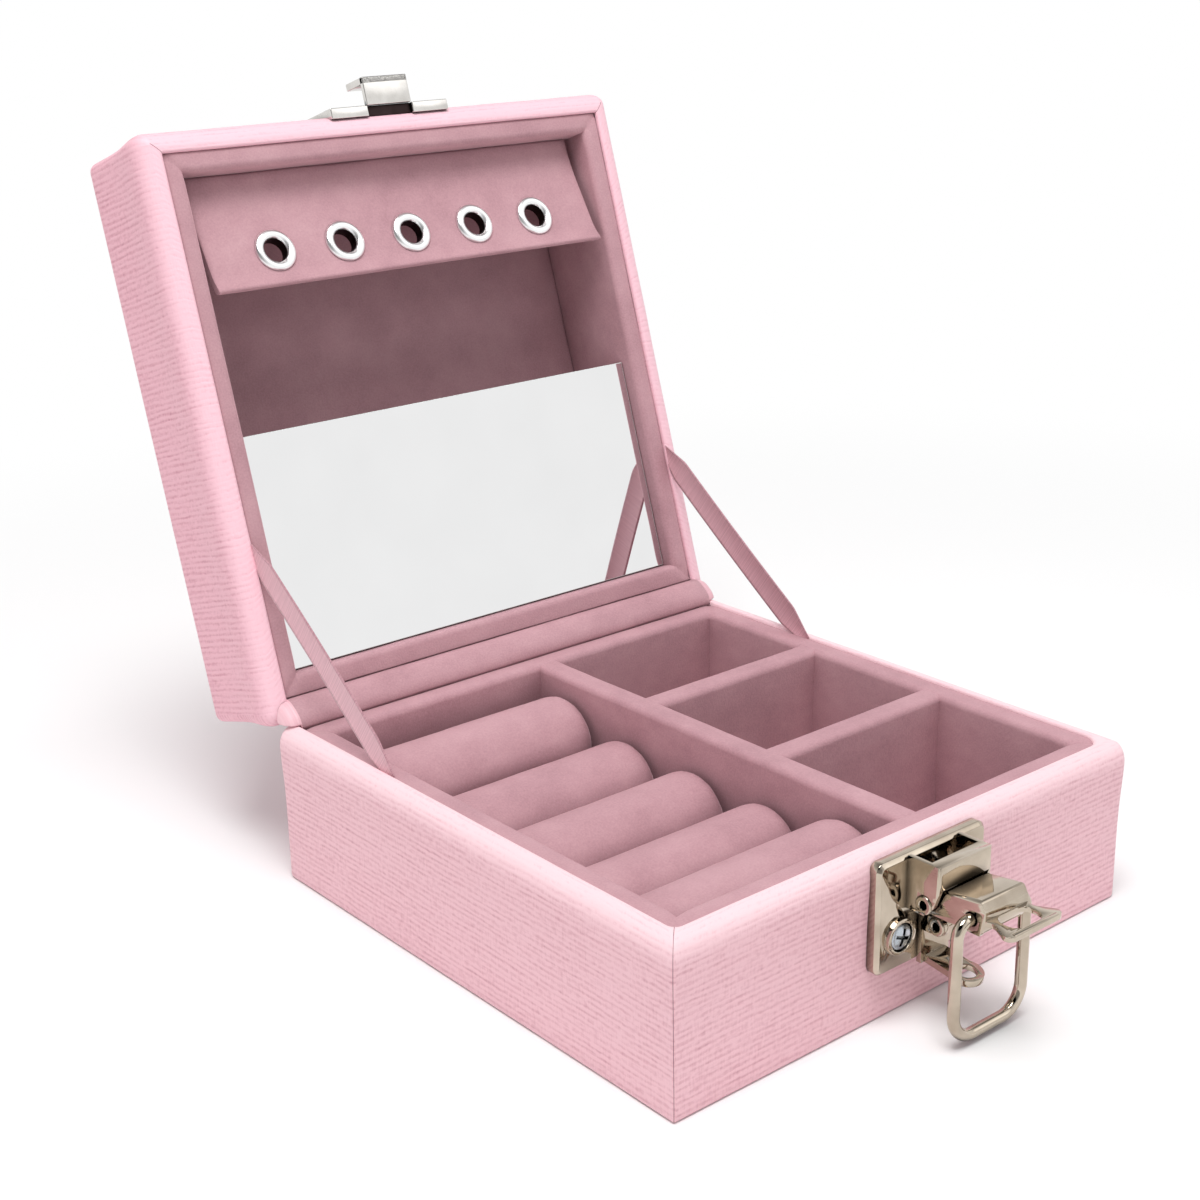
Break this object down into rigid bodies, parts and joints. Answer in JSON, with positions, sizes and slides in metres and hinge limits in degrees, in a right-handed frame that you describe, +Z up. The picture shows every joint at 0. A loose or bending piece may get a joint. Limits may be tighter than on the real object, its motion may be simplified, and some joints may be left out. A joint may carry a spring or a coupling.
{
  "type": "jewellery case",
  "caption": "Square leather jewellery case with a hinged lid holding a mirror and earring flap, a velvet tray with ring rolls and compartments, and a draw latch with a wire bail.",
  "frame": {"origin": "centre of the base's underside", "axes": "+X right along the front, +Y from front to back, +Z up; lid open at rest"},
  "size_m": [0.115, 0.1978, 0.1498],
  "materials": {
    "pink_leather": "fine ribbed grain, satin",
    "velvet": "short velvet nap",
    "ribbon": "satin ribbon",
    "bottom_cloth": "plain woven backing",
    "board": "plain fibreboard",
    "nickel": "polished nickel plate",
    "eyelet_metal": "bright plated",
    "screw_steel": "zinc plated",
    "mirror": "silvered flat glass"
  },
  "bodies": {
    "base": {"base_back_board": "board", "base_bottom_sheet": "bottom_cloth", "base_floor_board": "board", "base_front_board": "board", "base_leather_wrap": "pink_leather", "base_left_board": "board", "base_right_board": "board", "centre_divider": "velvet", "cross_divider_back": "velvet", "cross_divider_front": "velvet", "eye_rivet": "nickel", "hinge_lining": "velvet", "hinge_spine": "pink_leather", "latch_hood": "nickel", "latch_plate": "nickel", "latch_screws": "screw_steel", "lever_pin": "nickel", "padlock_eye": "nickel", "ribbon_left": "ribbon", "ribbon_right": "ribbon", "ring_roll_1": "velvet", "ring_roll_2": "velvet", "ring_roll_3": "velvet", "ring_roll_4": "velvet", "ring_roll_5": "velvet", "tray_back_lining": "velvet", "tray_floor_pad": "velvet", "tray_front_lining": "velvet", "tray_left_lining": "velvet", "tray_right_lining": "velvet"},
    "lid": {"lid_back_board": "board", "lid_frame_bottom": "velvet", "lid_frame_left": "velvet", "lid_frame_right": "velvet", "lid_frame_top": "velvet", "lid_front_board": "board", "lid_leather_wrap": "pink_leather", "lid_left_board": "board", "lid_lining_panel": "velvet", "lid_right_board": "board", "lid_top_board": "board", "mirror_board": "board", "mirror_glass": "mirror", "strike_plate": "nickel", "strike_screws": "screw_steel"},
    "flap": {"earring_flap": "velvet", "eyelet_1": "eyelet_metal", "eyelet_2": "eyelet_metal", "eyelet_3": "eyelet_metal", "eyelet_4": "eyelet_metal", "eyelet_5": "eyelet_metal"},
    "lever": {"latch_lever": "nickel"},
    "bush": {"bail_bush": "nickel"},
    "bail": {"latch_bail": "nickel"}
  },
  "joints": [
    {"name": "lid_hinge", "type": "hinge", "parent": "base", "child": "lid", "pos_m": [0, 0.0575, 0.0327], "axis": [-1, 0, 0], "range_deg": [-107, 0], "deforming": ["hinge_lining", "hinge_spine", "ribbon_left", "ribbon_right"]},
    {"name": "flap_fold", "type": "hinge", "parent": "lid", "child": "flap", "pos_m": [0, 0.09633, 0.13167], "axis": [-1, 0, 0], "range_deg": [-44, 0]},
    {"name": "lever_pivot", "type": "hinge", "parent": "base", "child": "lever", "pos_m": [0, -0.06375, 0.0232], "axis": [-1, 0, 0], "range_deg": [-90, 0]},
    {"name": "bush_turn", "type": "hinge", "parent": "lever", "child": "bush", "pos_m": [0, -0.0727, 0.0237], "axis": [1, 0, 0], "range_deg": [-146.01, 0]},
    {"name": "bail_swing", "type": "hinge", "parent": "bush", "child": "bail", "pos_m": [0, -0.0727, 0.0237], "axis": [1, 0, 0], "range_deg": [-131, 0]}
  ],
  "couplings": [
    {"joint": "bush_turn", "follows": "lever_pivot", "ratio": 1.6222}
  ]
}
